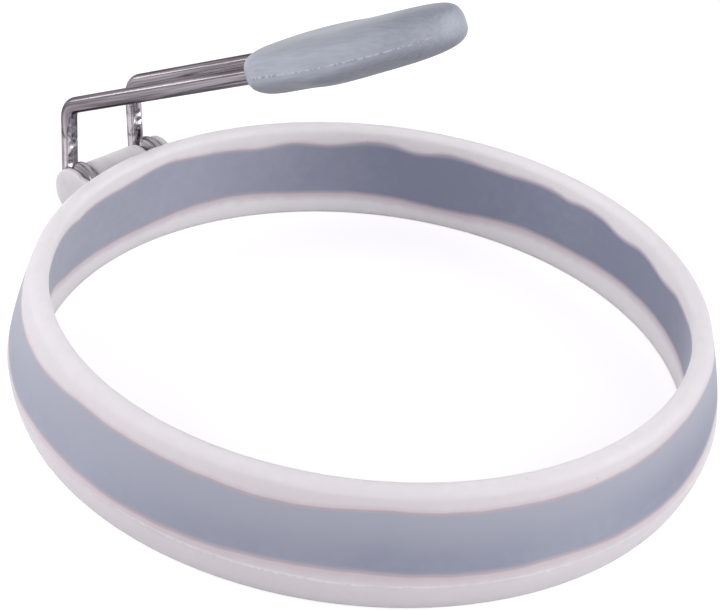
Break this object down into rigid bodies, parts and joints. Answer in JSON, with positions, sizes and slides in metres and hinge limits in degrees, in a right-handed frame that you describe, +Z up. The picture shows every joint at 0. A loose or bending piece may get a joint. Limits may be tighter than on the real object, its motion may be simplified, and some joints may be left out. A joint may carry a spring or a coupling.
{
  "type": "egg ring",
  "caption": "Round silicone egg ring moulded in white and blue-grey bands, with a wire handle and silicone grip that fold on a hinge lug at the back.",
  "frame": {"origin": "centre of the part's box on the plane that it stands on, with the handle at the pictured angle", "axes": "+Z up, +Y to the back where the hinge lug is, X along the hinge axis"},
  "size_m": [0.1022, 0.1114, 0.061],
  "materials": {
    "white_silicone": "satin, lightly translucent white silicone",
    "blue_grey_silicone": "satin blue-grey silicone",
    "stainless_steel": "polished drawn wire"
  },
  "bodies": {
    "ring": {"upper_lip": "white_silicone", "colour_band": "blue_grey_silicone", "lower_lip": "white_silicone", "hinge_lug": "white_silicone", "hinge_pin": "stainless_steel"},
    "handle": {"handle_wire": "stainless_steel", "grip": "blue_grey_silicone"}
  },
  "joints": [
    {"name": "handle_hinge", "type": "hinge", "parent": "ring", "child": "handle", "pos_m": [0, 0.05003, 0.0093], "axis": [1, 0, 0], "range_deg": [-108, 43]}
  ]
}
